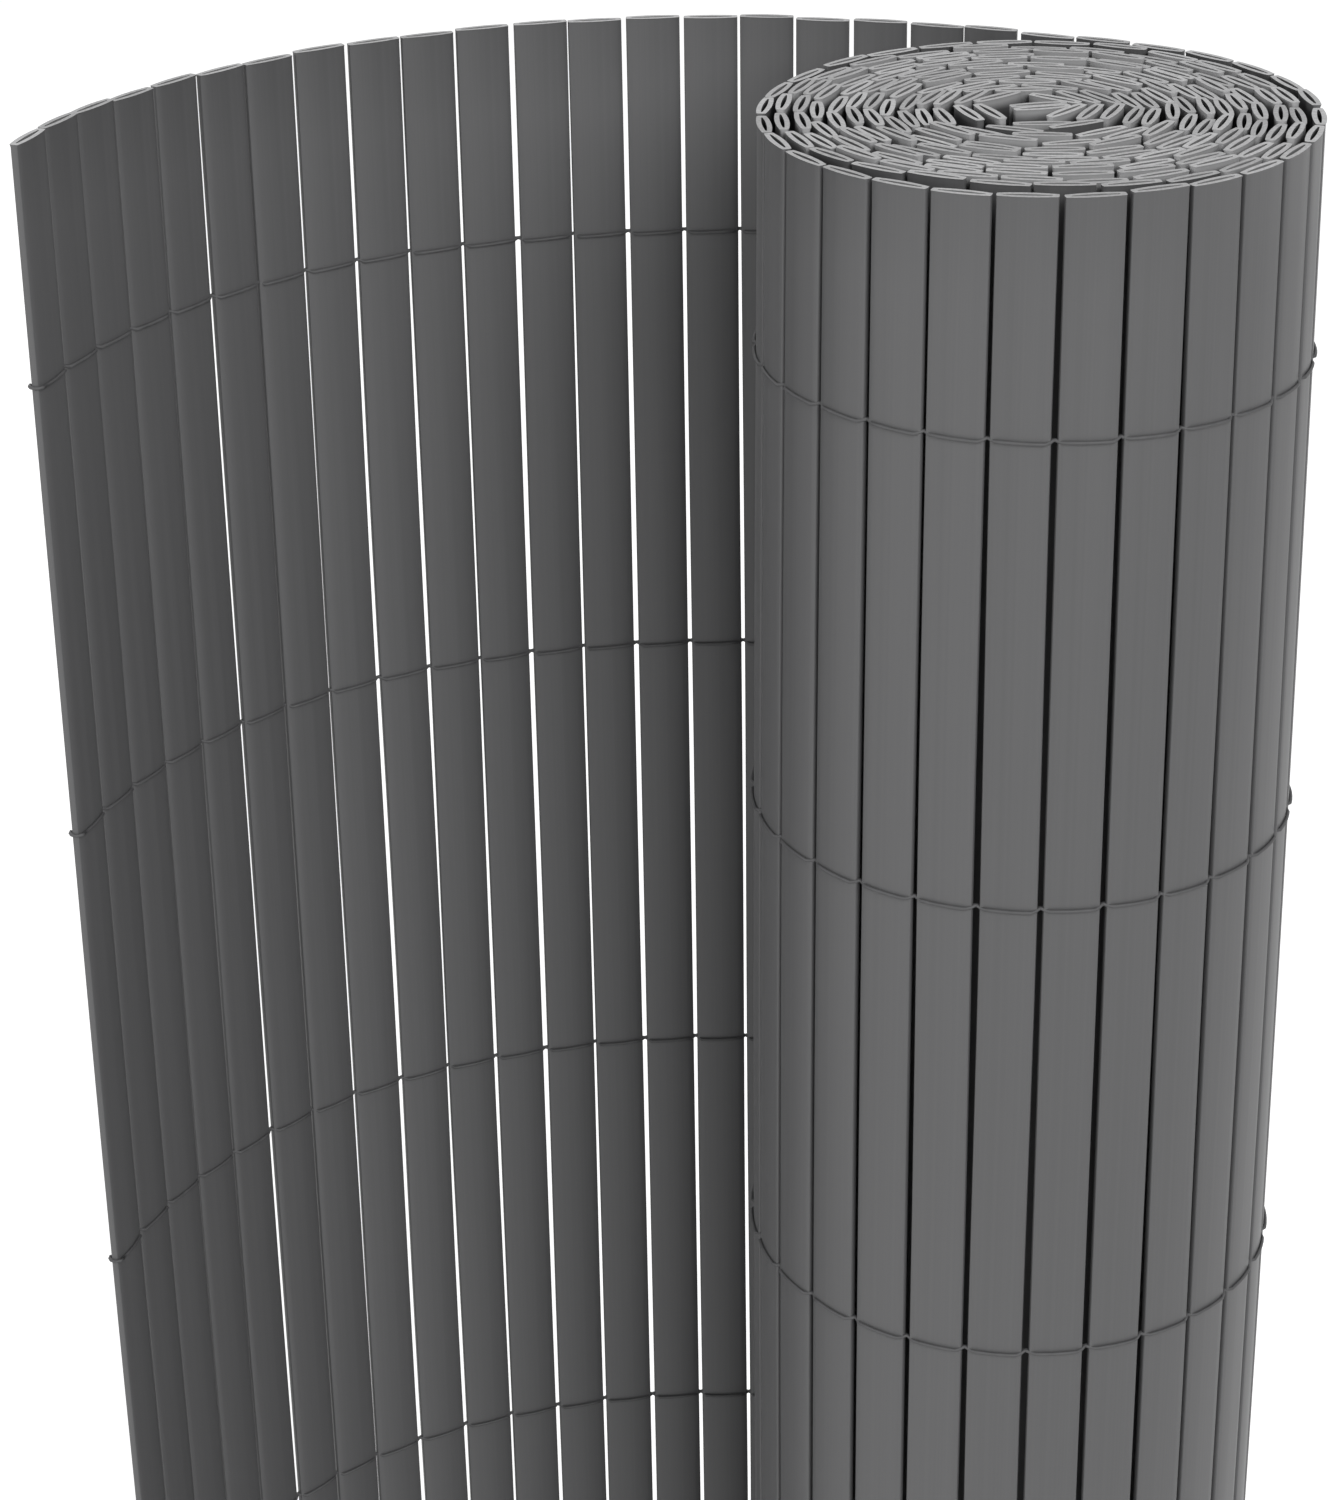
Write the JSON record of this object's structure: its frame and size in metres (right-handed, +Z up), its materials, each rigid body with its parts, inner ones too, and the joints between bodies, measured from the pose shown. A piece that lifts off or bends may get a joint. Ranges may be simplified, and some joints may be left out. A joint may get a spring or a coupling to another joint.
{
  "type": "pvc privacy screen",
  "caption": "Roll of dark grey double-faced PVC slat screening, bound with rows of thin twisted wire, standing on its slat ends with its free end opened out in a curve.",
  "frame": {"origin": "foot of the roll's axis, at floor level", "axes": "+Z up along the slats; -X towards the free end of the opened stretch; +Y towards the back, where the opened stretch leaves the roll"},
  "size_m": [0.417, 0.2194, 1],
  "materials": {
    "slat_pvc": "extruded dark grey PVC, matt to satin, with faint lengthwise streaks",
    "tie_wire": "thin steel wire in a dark grey plastic coat, satin"
  },
  "bodies": {
    "root": {"open_slat_01": "slat_pvc", "open_slat_02": "slat_pvc", "open_slat_03": "slat_pvc", "open_slat_04": "slat_pvc", "open_slat_05": "slat_pvc", "open_slat_06": "slat_pvc", "open_slat_07": "slat_pvc", "open_slat_08": "slat_pvc", "open_slat_09": "slat_pvc", "open_slat_10": "slat_pvc", "open_slat_11": "slat_pvc", "open_slat_12": "slat_pvc", "open_slat_13": "slat_pvc", "open_slat_14": "slat_pvc", "open_slat_15": "slat_pvc", "open_slat_16": "slat_pvc", "open_slat_17": "slat_pvc", "open_slat_18": "slat_pvc", "open_slat_19": "slat_pvc", "open_slat_20": "slat_pvc", "open_slat_21": "slat_pvc", "open_slat_22": "slat_pvc", "roll_slat_01": "slat_pvc", "roll_slat_02": "slat_pvc", "roll_slat_03": "slat_pvc", "roll_slat_04": "slat_pvc", "roll_slat_05": "slat_pvc", "roll_slat_06": "slat_pvc", "roll_slat_07": "slat_pvc", "roll_slat_08": "slat_pvc", "roll_slat_09": "slat_pvc", "roll_slat_10": "slat_pvc", "roll_slat_11": "slat_pvc", "roll_slat_12": "slat_pvc", "roll_slat_13": "slat_pvc", "roll_slat_14": "slat_pvc", "roll_slat_15": "slat_pvc", "roll_slat_16": "slat_pvc", "roll_slat_17": "slat_pvc", "roll_slat_18": "slat_pvc", "roll_slat_19": "slat_pvc", "roll_slat_20": "slat_pvc", "roll_slat_21": "slat_pvc", "roll_slat_22": "slat_pvc", "roll_slat_23": "slat_pvc", "roll_slat_24": "slat_pvc", "roll_slat_25": "slat_pvc", "roll_slat_26": "slat_pvc", "roll_slat_27": "slat_pvc", "roll_slat_28": "slat_pvc", "rolled_turns": "slat_pvc", "tie_row_1": "tie_wire", "tie_row_2": "tie_wire", "tie_row_3": "tie_wire", "tie_row_4": "tie_wire", "tie_row_5": "tie_wire", "tie_row_6": "tie_wire"}
  },
  "joints": []
}
